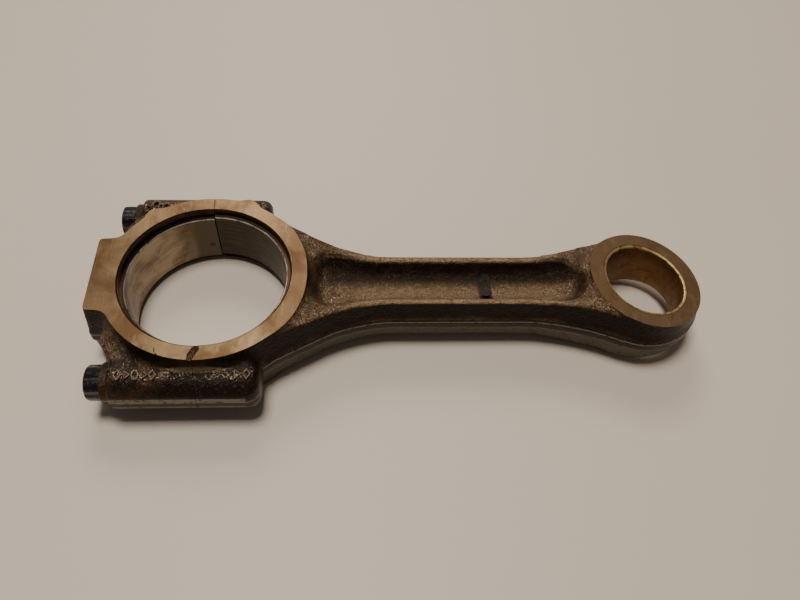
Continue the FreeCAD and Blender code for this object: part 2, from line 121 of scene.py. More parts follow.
OIL_BROWN = (0.055, 0.028, 0.013)  # oil patches on the walls
SCALE_BROWN = (0.060, 0.034, 0.017)  # scale between its lighter clouds
BARREL_SHADE = (0.014, 0.008, 0.0045)  # painted shade on the barrels' rounded tops
RECESS_FLOOR_LIGHT = (0.21, 0.135, 0.076)  # painted light on the near half of a recess floor
RIDGE_HIGHLIGHT = (0.25, 0.165, 0.095)  # painted highlight along the tops of the flanges
GRIT_GLINT = (0.44, 0.34, 0.22)  # grains that catch the light
CREST_GLINT = (0.52, 0.41, 0.26)
MARK_HIGHLIGHT = (0.17, 0.12, 0.072)  # painted highlight on the tops of the raised marks
LUMP_BLACK = (0.010, 0.008, 0.006)
RUST_BROWN = (0.15, 0.075, 0.034)  # cap's half of a barrel
FACE_END_DARK = (0.070, 0.037, 0.016)  # darker towards both ends of the big end's face
EYE_BROWN = (0.25, 0.145, 0.072)
SMEAR_LIGHT, SMEAR_DARK = (0.34, 0.245, 0.145), (0.100, 0.050, 0.020)
SPECK_BROWN = (0.060, 0.030, 0.012)
SCRATCH_LIGHT = (0.45, 0.35, 0.23)
LAND_OIL = (0.034, 0.020, 0.011)
BORE_DARK = (0.018, 0.010, 0.006)
BREAK_DARK, BREAK_LIGHT = (0.10, 0.085, 0.07), (0.26, 0.23, 0.20)
CHIP_BROWN = (0.030, 0.014, 0.006)
LINING_SHEEN = (0.62, 0.54, 0.40)
LINING_OIL, LINING_PIT = (0.06, 0.036, 0.018), (0.012, 0.008, 0.005)
CAP_LINING_DARK, ROD_LINING_DARK = (0.13, 0.09, 0.05), (0.05, 0.034, 0.023)
PARTING_SHADE, RELIEF_GREY = (0.07, 0.048, 0.026), (0.105, 0.084, 0.056)
DIMPLE_DARK = (0.03, 0.02, 0.012)
EDGE_BRIGHT, EDGE_STAINED = (0.72, 0.67, 0.59), (0.13, 0.085, 0.05)
SHELL_BACK = (0.050, 0.028, 0.015)
BRONZE_DIRT, BRONZE_CLEAN = (0.17, 0.088, 0.028), (0.20, 0.105, 0.036)
SEAM_DARK = (0.035, 0.020, 0.010)
BRONZE_RINGS, BRONZE_BURNT = (0.36, 0.23, 0.095), (0.045, 0.022, 0.010)
OXIDE_WORN, OXIDE_OILY = (0.16, 0.14, 0.12), (0.06, 0.04, 0.025)
FLOOR_CLOUD = (0.58, 0.50, 0.44)


def length(name, description, default):
    """A length property; its default is in millimetres."""
    return bpy.props.FloatProperty(name=name, description=description, default=default * MM,
                                   unit="LENGTH", precision=5)


def colour(name, description, default):
    """A colour property."""
    return bpy.props.FloatVectorProperty(name=name, description=description, default=default,
                                         subtype="COLOR", size=3, min=0, max=1)


class ForgingSizes(bpy.types.PropertyGroup):
    """Sizes of the forging, in metres."""

    ring_r: length("Ring radius", "Big-end ring at its machined faces", 32.1)
    eye_r: length("Eye radius", "Small-end eye at its machined faces", 19.2)
    eye_half: length("Eye half width", "Small-end eye on its axis", 9.5)
    shank_half: length("Shank half width", "Straight part of the shank at the mid-plane", 10.45)
    shank_top: length("Flange height", "Flanges above the mid-plane, middle of the shank", 9.15)
    web_half: length("Web half thickness", "Middle web of the I-section", 3.5)
    barrel_r: length("Barrel radius", "Forged barrel around a bolt", 7.9)
    rod_barrel: length("Rod barrel length", "Joint face to the blind end", 18.7)
    cap_barrel: length("Cap barrel length", "Joint face to the shoulder", 26.0)
    seat: length("Seat distance", "Joint face to the bolt seat", 28.4)
    seat_r: length("Seat radius", "Turned pad under a bolt head", 6.25)
    lobe_r: length("Lobe radius", "Lobes of the side face on the rear side", 3.2)
    lobe_at: length("Lobe distance", "Bore axis to a lobe's centre", 30.8)
    crack: length("Crack", "Half width of the open fracture line", 0.09)
    stagger: length("Stagger", "How far each shell has crept along the bore", 0.45)
    flash: length("Flash", "How far the flash stands out before it is trimmed", 1.3)
    land: length("Flash land", "Half height of the trimmed land", 1.25)
    land_z: length("Flash height", "Middle of the trimmed land, from the mid-plane", -1.3)
    land_out: length("Flash overhang", "How far the trimmed land stands out", 0.4)
    grain: length("Mesh pitch", "Pitch of the forging's mesh", 0.6)
    draft: bpy.props.FloatProperty(name="Draft", description="Draft of the forged walls",
                                   default=math.radians(5), unit="ROTATION")
    taper: bpy.props.FloatProperty(name="Eye taper", description="Slope of the small-end faces",
                                   default=math.radians(8.8), unit="ROTATION")
    soft_passes: bpy.props.IntProperty(name="Softening", default=6,
                                       description="Passes that round every forged edge")
    hollow_passes: bpy.props.IntProperty(name="Hollow softening", default=64,
                                         description="Passes that fill the forged hollows only")


class FinishColours(bpy.types.PropertyGroup):
    """Colours of the finishes."""

    skin: colour("Forged skin", "Oily scale on level parts of the forging", (0.135, 0.084, 0.044))
    # Painted shade: the skin on upright walls turned from the light; the skin colour above is its
    # lit copy on level parts.
    skin_wall_shade: colour("Skin, walls", "Oil held on the upright walls", (0.011, 0.0062, 0.0030))
    skin_dark: colour("Skin, dark", "Deep oil stain on the forging", (0.018, 0.010, 0.005))
    # Lighter grey on the walls below the mid-plane.
    skin_underside: colour("Skin, underside", "Cleaner grey lower walls", (0.155, 0.142, 0.108))
    machined: colour("Machined faces", "Ground steel under old oil", (0.215, 0.140, 0.072))
    stain: colour("Stain", "Burnt oil on the machined faces", (0.085, 0.041, 0.015))
    land: colour("Flash land", "Sheared edge of the forging", (0.28, 0.245, 0.19))
    bore: colour("Housing bore", "Bare bore behind the shells", (0.045, 0.022, 0.010))
    cap_lining: colour("Cap lining", "Polished bearing metal", (0.37, 0.29, 0.185))
    rod_lining: colour("Rod lining", "Dull bearing metal", (0.056, 0.040, 0.028))
    bronze: colour("Bronze", "Turned edge of the bush", (0.66, 0.46, 0.17))
    bronze_dark: colour("Bronze, stained", "Bore of the bush", (0.13, 0.060, 0.020))
    oxide: colour("Bolt black", "Black oxide on the bolts", (0.007, 0.0066, 0.0062))
    floor: colour("Floor", "Plain pale floor", (0.54, 0.458, 0.378))


# -------------------------------- shader maths

class Wire:
    """A shader socket that takes part in Python expressions."""

    def __init__(self, board, socket):
        self.board, self.socket = board, socket

    def _math(self, operation, other, flip=False):
        """One Math node; flip puts the other value first."""
        first, second = (other, self) if flip else (self, other)
        return self.board.node("ShaderNodeMath", {"operation": operation}, {0: first, 1: second})

    def __add__(self, other):
        return self._math("ADD", other)

    def __radd__(self, other):
        return self._math("ADD", other, True)

    def __sub__(self, other):
        return self._math("SUBTRACT", other)

    def __rsub__(self, other):
        return self._math("SUBTRACT", other, True)

    def __mul__(self, other):
        return self._math("MULTIPLY", other)

    def __rmul__(self, other):
        return self._math("MULTIPLY", other, True)

    def __pow__(self, other):
        return self._math("POWER", other)

    def __abs__(self):
        return self._math("ABSOLUTE", 0.0)

    def hypot(self, other):
        """Distance from two coordinates."""
        return (self * self + other * other) ** 0.5

    def most(self, other):
        """The larger of two values."""
        return self._math("MAXIMUM", other)

    def rise(self, low, high):
        """0 below low, 1 above high, smooth between; falls when low is above high."""
        if low > high:
            return 1 - self.rise(high, low)
        return self.board.node("ShaderNodeMapRange", {"interpolation_type": "SMOOTHSTEP"},
                               {0: self, 1: low, 2: high, 3: 0.0, 4: 1.0})


class Board:
    """The node tree of one finish."""

    def __init__(self, name):
        self.material = bpy.data.materials.new(name)
        self.material.use_nodes = True
        self.tree = self.material.node_tree
        self.shader = self.tree.nodes["Principled BSDF"]
        self.place = self.node("ShaderNodeTexCoord", {}, {}, "Object")
        self.x, self.y, self.z = (self.node("ShaderNodeSeparateXYZ", {}, {0: self.place}, axis)
                                  for axis in ("X", "Y", "Z"))

    def node(self, kind, settings, values, output=0):
        """Any node: its settings, then its socket values or links; gives one output."""
        made = self.tree.nodes.new(kind)
        for key, value in settings.items():
            setattr(made, key, value)
        for key, value in values.items():
            self.join(made.inputs[key], value)
        return Wire(self, made.outputs[output])

    def join(self, socket, value):
        """Link a wire to a socket, or set the socket's value."""
        if isinstance(value, Wire):
            self.tree.links.new(value.socket, socket)
        elif hasattr(value, "__len__") and socket.type == "RGBA":
            socket.default_value = (*value[:3], 1.0)
        else:
            socket.default_value = value

    def set(self, **sockets):
        """Values or links for the shader's own sockets; underscores stand for spaces."""
        for key, value in sockets.items():
            self.join(self.shader.inputs[key.replace("_", " ")], value)

    def blend(self, factor, first, second):
        """Mix two colours."""
        return self.node("ShaderNodeMix", {"data_type": "RGBA"},
                         {0: factor, 6: first, 7: second}, 2)

    def layers(self, base, *coats):
        """Lay colours over a base, each by its own mask."""
        for mask, tint in coats:
            base = self.blend(mask, base, tint)
        return base

    def attribute(self, name):
        """A number stored on the mesh."""
        return self.node("ShaderNodeAttribute", {"attribute_name": name}, {}, "Fac")

    def stretched(self, scale, turn=(0, 0, 0)):
        """Object coordinates, stretched and turned."""
        return self.node("ShaderNodeMapping", {}, {0: self.place, 2: turn, 3: scale})

    def noise(self, size, detail=4.0, rough=0.55, at=None, warp=0.0):
        """Cloudy noise whose features are about size metres across."""
        return self.node("ShaderNodeTexNoise", {},
                         {"Vector": at or self.place, "Scale": 1 / size, "Detail": detail,
                          "Roughness": rough, "Distortion": warp})

    def cells(self, size):
        """Distance to scattered points about size metres apart."""
        return self.node("ShaderNodeTexVoronoi", {"feature": "F1"},
                         {"Vector": self.place, "Scale": 1 / size})

    def bump(self, height, depth, under=None):
        """Surface relief: height times depth, in metres."""
        values = {"Height": height, "Distance": depth, "Strength": 1.0}
        if under:
            values["Normal"] = under
        return self.node("ShaderNodeBump", {}, values)


# -------------------------------- finishes

def scratches(board, size, turns, density):
    """Fine scratches in a few directions, as a mask."""
    total = None
    for angle in turns:
        lines = board.noise(size, 1.0, 0.4, board.stretched((1.0, 0.035, 1.0), (0, 0, angle)))
        mask = lines.rise(density, density + 0.03)
        total = mask if total is None else total.most(mask)
    return total


def forging_places(board, sizes):
    """Patterns of the forging, and masks that say which part of it a point lies on."""
    at = SimpleNamespace()
    x, y, z = board.x, board.y, board.z
    at.clouds = board.noise(13 * MM, 5.0, 0.6)
    at.patches = board.noise(3.2 * MM, 4.0, 0.6, warp=0.6)
    at.grit = board.noise(0.62 * MM, 3.0, 0.65)
    at.speck = board.noise(0.7 * MM, 3.0, 0.6)
    at.oily = (at.clouds * 0.5 + at.patches * 0.5).rise(0.42, 0.58)
    height, side, radius = abs(z), abs(y), x.hypot(y)
    bolt_radius = (side - BOLT_Y).hypot(z)

    thin = 0.03 * MM
    eye_face = sizes.eye_half - (x - EYE_X) * math.tan(sizes.taper)
    at.eye = ((height - eye_face).rise(-thin, -thin / 2)
              * x.rise(EYE_X - 22 * MM, EYE_X - 21 * MM))
    at.ground = height.rise(FACE_Z - thin, FACE_Z - thin / 2).most(at.eye)
    at.seat = ((x + sizes.seat).rise(0.06 * MM, 0.03 * MM)
               * bolt_radius.rise(7 * MM, 6.9 * MM))
    at.hole = bolt_radius.rise(4.4 * MM, 4.35 * MM).most(
        radius.rise(HOUSING_R + 0.45 * MM, HOUSING_R + 0.4 * MM))
    at.broken = board.attribute("broken")
    # How level a point is: level parts get the lit skin, upright walls its painted shade.
    at.level = (board.attribute("level") + (at.clouds - 0.5) * 0.4).rise(0.15, 0.62)

    low = z - sizes.land_z + (board.noise(2.2 * MM, 2.0) - 0.5) * 0.5 * MM
    at.edge = abs(low).rise(1.45 * MM, 1.3 * MM)
    flat = side.rise(BARREL_FLAT_Y - 0.06 * MM, BARREL_FLAT_Y - 0.03 * MM)
    # Top of the land and foot of the barrel flats: the sheared metal's own lighter colour, laid on
    # as a painted highlight along these edges.
    at.rim = low.rise(0.70 * MM, 0.95 * MM).most(flat * z.rise(-2.2 * MM, -2.6 * MM))
    at.land = (at.edge.most(flat * z.rise(2.3 * MM, 1.9 * MM))
               * radius.rise(HOUSING_R + 2 * MM, HOUSING_R + 2.5 * MM))
    at.crack = abs(x + (board.noise(3 * MM, 2.0) - 0.5) * 0.6 * MM).rise(0.75 * MM, 0.25 * MM)
    at.chip = ((x - CHIP_X).hypot(y - CHIP_Y).rise(4.6 * MM, 4.2 * MM)
               * z.rise(9 * MM, 10 * MM))

    at.barrel = side.rise(27 * MM, 30 * MM) * abs(x).rise(31 * MM, 29 * MM)
    at.crest = at.barrel * height.rise(6.9 * MM, 7.6 * MM)
    at.flank = abs(side - BOLT_Y - 2.0 * MM).rise(2.2 * MM, 0.8 * MM) * at.crest
    # Outer tops of the raised marks, which take a painted highlight.
    at.raised = (bolt_radius.rise(8.1 * MM, 8.35 * MM) * at.barrel
                 * (side - BOLT_Y).rise(0.0, 0.5 * MM))
    at.rusty = side.rise(BOLT_Y - 3 * MM, BOLT_Y) * (x + 8 * MM).rise(0.0, -1 * MM)
    # Painted shade in the hollows between the ring and the barrels.
    at.hollow = (radius.rise(37.5 * MM, 34 * MM) * abs(x).rise(25 * MM, 19 * MM)
                 * height.rise(11.5 * MM, 10 * MM))

    shank = x.rise(40 * MM, 52 * MM) * x.rise(122 * MM, 112 * MM)
    # Flange tops, which take a painted highlight.
    at.ridge = shank * height.rise(8.35 * MM, 8.75 * MM)
    # Painted shadow of the far flange over the far side of each recess.
    at.pooled = ((y + (at.patches - 0.5) * 3 * MM).rise(0.5 * MM, 4.0 * MM)
                 * height.rise(8.6 * MM, 7.8 * MM) * x.rise(33 * MM, 40 * MM)
                 * x.rise(124 * MM, 119 * MM))
    # Painted light on the near half of each recess floor.
    at.wiped = (shank * height.rise(6.5 * MM, 5 * MM) * (1 - at.pooled)
                * y.rise(2 * MM, -2 * MM))
    at.lump = (abs(x - LUMP_X).rise(2.6 * MM, 1.9 * MM) * side.rise(6 * MM, 5.2 * MM)
               * height.rise(6.5 * MM, 6 * MM))
    # Darker towards both ends of the big end's face.
    at.smoky = (abs(x + 2 * MM).rise(15 * MM, 31 * MM) * x.rise(60 * MM, 50 * MM)
                * (0.35 + x.rise(15 * MM, 25 * MM) * 0.25))
    at.glint = (at.grit.rise(0.54, 0.68) * at.level * (1 - at.hollow)
                * (1 - at.barrel * (1 - at.crest) * 0.85)
                * (1 - at.pooled * 0.8) * (1 - at.ridge * 0.5))
    return at


def skin_colour(board, at, colours):
    """Colour of the forged skin: painted shade on the walls, lit brown on level parts, glinting
    grains.
    """
    # Upright walls in painted shade, lighter grey below the mid-plane, with brown oil patches.
    wall = board.layers(colours.skin_wall_shade, (board.z.rise(-2.4 * MM, -3.0 * MM), colours.skin_underside),
                        (at.patches.rise(0.50, 0.72) * 0.25, OIL_BROWN))
    scale = (at.clouds * 0.6 + at.patches * 0.6).rise(0.75, 0.46)
    # The lit colour of level parts, with painted shade on the barrels, painted light on the near
    # half of each recess floor and a painted highlight on the flange tops.
    top = board.layers(colours.skin, (scale, SCALE_BROWN), (at.barrel, BARREL_SHADE),
                       (at.wiped * 0.6, RECESS_FLOOR_LIGHT), (at.ridge * 0.75, RIDGE_HIGHLIGHT))
    # Level parts take the lit colour; the walls, the hollows by the ring and the far side of each
    # recess keep the painted shade.
    return board.layers(wall, (at.level * (1 - at.hollow) * (1 - at.pooled * 0.9), top),
                        (at.glint * (0.20 + at.oily * 0.60), GRIT_GLINT),
                        (at.grit.rise(0.50, 0.66) * at.flank * at.oily * 0.65, CREST_GLINT),
                        # Painted highlight on the tops of the raised marks.
                        (at.raised * 0.7, MARK_HIGHLIGHT),
                        (at.grit.rise(0.46, 0.36) * 0.7, colours.skin_dark),
                        (at.lump * 0.9, LUMP_BLACK),
                        (at.rusty * at.clouds.rise(0.4, 0.6) * 0.3, RUST_BROWN))


def ground_colour(board, at, colours, stain, lines):
    """Colour of the ground faces: steel under burnt oil, smears, specks and scratches."""
    smear = board.noise(3.6 * MM, 4.0, 0.6, board.stretched((1.0, 0.5, 1.0), (0, 0, 0.6)), 0.3)
    return board.layers(colours.machined,
                        (stain.rise(0.40, 0.64) * 0.80, colours.stain), (at.smoky, FACE_END_DARK),
                        (at.eye * 0.55, EYE_BROWN),
                        (smear.rise(0.50, 0.72) * (0.40 - at.smoky * 0.6), SMEAR_LIGHT),
                        (smear.rise(0.40, 0.28) * 0.45, SMEAR_DARK),
                        (at.speck.rise(0.60, 0.72) * 0.40, SPECK_BROWN),
                        (lines * 0.09, SCRATCH_LIGHT),
                        (at.crack * at.speck.rise(0.45, 0.6) * 0.8, colours.skin_dark))


def forged_finish(colours, sizes):
    """Forged steel: oily scale, sheared land, machined faces and bores, by place."""
    board = Board("forged_steel")
    at = forging_places(board, sizes)
    stain = board.noise(13 * MM, 4.0, 0.55, warp=0.35)
    lines = scratches(board, 0.5 * MM, (0.35, 1.2, 2.5), 0.71)
    ground = ground_colour(board, at, colours, stain, lines)
    worn = board.noise(1.5 * MM, 4.0)
    # Oily land; the sheared metal's colour goes on its edges as a painted highlight, broken up by
    # noise.
    land = board.blend(at.rim * worn.rise(0.72, 0.50), LAND_OIL, colours.land)
    bore = board.blend(board.noise(5 * MM, 4.0).rise(0.4, 0.7), colours.bore, BORE_DARK)
    fracture = board.blend(at.grit.rise(0.4, 0.65), BREAK_DARK, BREAK_LIGHT)
    worked = at.ground.most(at.seat)
    shade = board.layers(skin_colour(board, at, colours), (at.land * 0.8, land),
                         (at.crack * 0.5 * at.patches.rise(0.4, 0.6), colours.skin_dark),
                         (at.chip * 0.85, CHIP_BROWN), (worked, ground),
                         (at.broken, fracture), (at.hole, bore))

    skin_rough = 0.24 + (1 - at.glint) * 0.16 - at.clouds * 0.08
    face_rough = 0.34 + stain * 0.16 - lines * 0.10 + at.speck * 0.08
    rough = skin_rough * (1 - worked) + face_rough * worked
    rugged = 1 - worked.most(at.hole)
    coarse = rugged * (1 - at.edge * 0.6) * (0.3 + at.clouds * 1.3) * (1 - at.barrel * 0.45)
    relief = board.bump(at.patches * rugged, 0.20 * MM)
    relief = board.bump(at.grit * coarse, 0.55 * MM, relief)
    relief = board.bump(board.cells(1.1 * MM) * coarse, 0.16 * MM, relief)
    relief = board.bump(lines * worked, 0.008 * MM, relief)
    board.set(Base_Color=shade, Roughness=rough.most(at.broken * 0.6),
              Metallic=0.60 + worked * 0.22, Coat_Weight=at.lump * 0.3, Coat_Roughness=0.15,
              Specular_IOR_Level=0.25, Normal=relief)
    return board.material


def lining_finish(name, lining, dark, rough, sheen, relieved):
    """Bearing metal worn by the journal: oily ends, a bright edge, relief at the parting."""
    board = Board(name)
    radius = board.x.hypot(board.y)
    inside = radius.rise(JOURNAL_R + 0.10 * MM, JOURNAL_R + 0.05 * MM)
    rings = board.noise(0.35 * MM, 2.0, 0.5, board.stretched((0.03, 0.03, 1.0)))
    clouds = board.noise(11 * MM, 4.0, 0.6, warp=0.5)
    stains = board.noise(4.5 * MM, 4.0, 0.6)
    speck = board.noise(0.7 * MM, 3.0, 0.6)
    relief = abs(board.x).rise(9.2 * MM, 6.8 * MM) * relieved
    dimple = (board.x - DIMPLE_X).hypot(board.z - DIMPLE_Z)
    ring = (dimple.rise(0.30 * MM, 0.50 * MM) * dimple.rise(0.95 * MM, 0.70 * MM) * relieved
            * board.y.rise(0.0, 1 * MM))
    metal = board.layers(lining, (clouds.rise(0.35, 0.7), dark),
                         (rings.rise(0.52, 0.62) * sheen, LINING_SHEEN),
                         (stains.rise(0.60, 0.75) * 0.6, LINING_OIL),
                         (speck.rise(0.70, 0.74) * 0.8, LINING_PIT),
                         (abs(board.x).rise(16 * MM, 9 * MM) * relieved * 0.6, PARTING_SHADE),
                         (relief, RELIEF_GREY), (ring * 0.8, DIMPLE_DARK))
    bright = board.blend((speck * 0.5 + stains * 0.5).rise(0.52, 0.64), EDGE_BRIGHT, EDGE_STAINED)
    band = (radius + stains * 0.4 * MM).rise(JOURNAL_R + 0.66 * MM, JOURNAL_R + 0.44 * MM)
    back = board.blend(band, SHELL_BACK, bright)
    board.set(Base_Color=board.blend(inside, back, metal), Metallic=0.9,
              Roughness=rough + clouds * 0.14 + relief * 0.12 + (1 - inside) * 0.06,
              Normal=board.bump(ring, -0.25 * MM, board.bump(rings * inside, 0.006 * MM)))
    return board.material


def bronze_finish(colours):
    """Bush: bright turned chamfers and a bore stained by burnt oil."""
    board = Board("bronze")
    radius = (board.x - EYE_X).hypot(board.y)
    bore = radius.rise(PIN_R + 0.10 * MM, PIN_R + 0.04 * MM)
    rings = board.noise(0.3 * MM, 2.0, 0.5, board.stretched((0.05, 0.05, 1.0)))
    clouds = board.noise(6 * MM, 5.0, 0.6, warp=0.5)
    dirt = board.noise(2.0 * MM, 4.0, 0.6, warp=0.3)
    seam = radius.rise(BUSH_R - 0.35 * MM, BUSH_R - 0.15 * MM)
    edge = board.layers(colours.bronze, (dirt.rise(0.46, 0.66) * 0.9, BRONZE_DIRT),
                        (seam * 0.85, SEAM_DARK))
    inner = board.layers(colours.bronze_dark, (clouds.rise(0.35, 0.65), BRONZE_CLEAN),
                         (rings.rise(0.55, 0.7) * 0.25, BRONZE_RINGS),
                         (dirt.rise(0.58, 0.70) * 0.6, BRONZE_BURNT))
    board.set(Base_Color=board.blend(bore, edge, inner), Metallic=0.85,
              Roughness=0.30 + bore * 0.14 + dirt * 0.12,
              Normal=board.bump(rings * bore, 0.008 * MM))
    return board.material


def bolt_finish(colours, sizes):
    """Black oxide, worn grey on the points, with an oily sheen."""
    board = Board("black_steel")
    radius = (abs(board.y) - BOLT_Y).hypot(board.z)
    head = (board.x + sizes.seat).rise(0.1 * MM, -0.2 * MM)
    worn = (radius.rise(HEAD_R - 0.35 * MM, HEAD_R) * head
            * board.noise(0.8 * MM, 3.0).rise(0.45, 0.6))
    dirt = board.noise(1.6 * MM, 4.0, 0.6)
    shade = board.layers(colours.oxide, (worn * 0.35, OXIDE_WORN),
                         (dirt.rise(0.55, 0.75) * 0.4, OXIDE_OILY))
    board.set(Base_Color=shade, Metallic=0.5, Roughness=0.20 + dirt * 0.16, Coat_Weight=0.5,
              Coat_Roughness=0.08, Normal=board.bump(board.noise(0.5 * MM, 3.0), 0.025 * MM))
    return board.material


def floor_finish(colours):
    """A plain pale floor, very slightly clouded."""
    board = Board("pale_floor")
    clouds = board.noise(120 * MM, 3.0)
    board.set(Base_Color=board.blend(clouds.rise(0.3, 0.7) * 0.12, colours.floor, FLOOR_CLOUD),
              Roughness=0.55, Metallic=0.0)
    return board.material


# -------------------------------- mesh helpers

def solid(name, shape):
    """An object from a bmesh, linked to the scene."""
    mesh = bpy.data.meshes.new(name)
    shape.to_mesh(mesh)
    shape.free()
    piece = bpy.data.objects.new(name, mesh)
    bpy.context.scene.collection.objects.link(piece)
    return piece


def settle(piece):
    """Apply a piece's modifiers to its mesh."""
    graph = bpy.context.evaluated_depsgraph_get()
    mesh = bpy.data.meshes.new_from_object(piece.evaluated_get(graph))
    old = piece.data
    piece.modifiers.clear()
    piece.data = mesh
    bpy.data.meshes.remove(old)


def combine(piece, tool, how):
    """Boolean one piece with another, which is used up."""
    step = piece.modifiers.new("combine", "BOOLEAN")
    step.operation = how
    step.solver = "MANIFOLD"
    step.object = tool
    settle(piece)
    if not piece.data.polygons:
        raise RuntimeError(f"{piece.name}: {how} with {tool.name} left nothing")
    bpy.data.objects.remove(tool)
    return piece


def cleaned(piece):
    """Merge the points, drop the slivers that the cuts left, and split the many-sided faces."""
    shape = bmesh.new()
    shape.from_mesh(piece.data)
    bmesh.ops.remove_doubles(shape, verts=shape.verts[:], dist=0.002 * MM)
    bmesh.ops.dissolve_degenerate(shape, edges=shape.edges[:], dist=0.002 * MM)
    bmesh.ops.triangulate(shape, faces=[f for f in shape.faces if len(f.verts) > 4])
    shape.to_mesh(piece.data)
    shape.free()


def flared(plan, height, slope):
    """A plan raised to a height while it closes in; a negative slope opens it out."""
    shape = bmesh.new()
    plan(shape)
    sides = bmesh.ops.inset_region(shape, faces=shape.faces[:], thickness=height * slope,
                                   use_boundary=True, use_even_offset=True)["faces"]
    top = next(f for f in shape.faces if f not in sides)
    bmesh.ops.translate(shape, verts=top.verts[:], vec=(0, 0, height))
    return shape


def drafted(name, plan, half, slope):
    """A block whose plan lies at the mid-plane and narrows upwards and downwards."""
    shape = flared(plan, half, slope)
    bmesh.ops.mirror(shape, geom=shape.verts[:] + shape.edges[:] + shape.faces[:],
                     axis="Z", merge_dist=0.001 * MM)
    bmesh.ops.recalc_face_normals(shape, faces=shape.faces[:])
    return solid(name, shape)


def prism(name, plan, half, turn=None):
    """A straight block of a plan, both ways from the mid-plane."""
    shape = bmesh.new()
    plan(shape)
    lifted = bmesh.ops.extrude_face_region(shape, geom=shape.faces[:])["geom"]
    bmesh.ops.translate(shape, verts=[g for g in lifted if isinstance(g, bmesh.types.BMVert)],
                        vec=(0, 0, 2 * half))
    bmesh.ops.translate(shape, verts=shape.verts[:], vec=(0, 0, -half))
    if turn:
        bmesh.ops.transform(shape, matrix=turn, verts=shape.verts[:])
    bmesh.ops.recalc_face_normals(shape, faces=shape.faces[:])
    return solid(name, shape)


def disc(x, y, radius, segments=160):
    """A plan: one round face."""
    def draw(shape):
        made = bmesh.ops.create_circle(shape, cap_ends=True, radius=radius, segments=segments)
        bmesh.ops.translate(shape, verts=made["verts"], vec=(x, y, 0))
    return draw


def corners(points, roundings=()):
    """A plan: straight sides through a few corners, some of them rounded."""
    def draw(shape):
        verts = [shape.verts.new((*p, 0)) for p in points]
        shape.faces.new(verts)
        for vert, radius in zip(verts, roundings):
            if radius:
                before, after = (e.other_vert(vert).co - vert.co for e in vert.link_edges)
                reach = radius / math.tan(before.angle(after) / 2)
                steps = max(4, int(reach / (1.2 * MM)))
                bmesh.ops.bevel(shape, geom=[vert], offset=reach, offset_type="OFFSET",
                                segments=steps, profile=0.5, affect="VERTICES", material=-1)
    return draw


def traced(points, rounding=0.0, x=0.0):
    """A plan through points in millimetres, moved along X, with every corner rounded alike."""
    return corners([(x + px * MM, py * MM) for px, py in points], [rounding] * len(points))


def both_sides(points):
    """Points on the +Y side, followed by their reflections."""
    return list(points) + [(x, -y) for x, y in reversed(points)]


def turned(name, profile, steps, centre=(0, 0, 0), axis=(0, 0, 1), sweep=FULL_TURN, start=0.0):
    """A closed profile (distance from the axis, place along it) spun about an axis."""
    shape = bmesh.new()
    verts = [shape.verts.new((r, 0, z)) for r, z in profile]
    face = shape.faces.new(verts)
    bmesh.ops.rotate(shape, verts=verts, cent=(0, 0, 0), matrix=Matrix.Rotation(start, 3, "Z"))
    if sweep < FULL_TURN:
        bmesh.ops.spin(shape, geom=[face] + face.edges[:] + verts, cent=(0, 0, 0), axis=(0, 0, 1),
                       angle=sweep, steps=steps, use_duplicate=False)
    else:
        bmesh.ops.spin(shape, geom=face.edges[:] + verts, cent=(0, 0, 0), axis=(0, 0, 1),
                       angle=sweep, steps=steps, use_merge=True)
        bmesh.ops.delete(shape, geom=[face], context="FACES_ONLY")
        bmesh.ops.remove_doubles(shape, verts=shape.verts[:], dist=0.001 * MM)
        loose = [e for e in shape.edges if not e.link_faces]
        bmesh.ops.delete(shape, geom=loose, context="EDGES")
    aim = Vector((0, 0, 1)).rotation_difference(Vector(axis)).to_matrix().to_4x4()
    bmesh.ops.transform(shape, matrix=Matrix.Translation(centre) @ aim, verts=shape.verts[:])
    bmesh.ops.recalc_face_normals(shape, faces=shape.faces[:])
    return solid(name, shape)


def smooth_shaded(piece, angle=35):
    """Smooth shading, with edges sharper than an angle in degrees kept."""
    for face in piece.data.polygons:
        face.use_smooth = True
    piece.data.set_sharp_from_angle(angle=math.radians(angle))


def place(piece, body, node, finish):
    """Finish a piece: its material, its body, and the CAD node it stands for, which is hidden."""
    piece.data.materials.clear()
    piece.data.materials.append(finish)
    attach(piece, body)
    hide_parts(node)


def soften(piece, passes, hollows_only=False):
    """Relax a dense mesh towards its neighbours; with hollows_only, only inside corners fill."""
    mesh = piece.data
    count = len(mesh.vertices)
    flat_points = np.empty(count * 3, np.float32)
    mesh.vertices.foreach_get("co", flat_points)
    ends = np.empty(len(mesh.edges) * 2, np.int32)
    mesh.edges.foreach_get("vertices", ends)
    first, second = ends.reshape(-1, 2).T
    degree = np.bincount(ends, minlength=count).astype(np.float32)[:, None]
    points = flat_points.reshape(-1, 3)
    normals = np.empty(count * 3, np.float32)
    for step in range(passes):
        total = np.stack([np.bincount(first, points[second, k], count)
                          + np.bincount(second, points[first, k], count) for k in range(3)], 1)
        move = total / degree - points
        if hollows_only:
            if step % 4 == 0:
                mesh.vertices.foreach_set("co", points.astype(np.float32).ravel())
                mesh.update()
                mesh.vertex_normals.foreach_get("vector", normals)
            facing = (move * normals.reshape(-1, 3)).sum(1, keepdims=True)
            move = move * (facing > 0.0)
        points = points + 0.5 * move
    mesh.vertices.foreach_set("co", points.astype(np.float32).ravel())
    mesh.update()


# -------------------------------- the forging

def shank_plan(sizes, grow):
    """The shank at the mid-plane: flanks, straight part and neck."""
    half = sizes.shank_half + grow
    points = both_sides([
        (18 * MM, 27.1 * MM + grow), (47.8 * MM, half), (120.3 * MM, half),
        (136.3 * MM, 18.4 * MM + grow),
    ])
    radii = [0, 46 * MM, 72 * MM, 0]
    return corners(points, radii + radii[::-1])


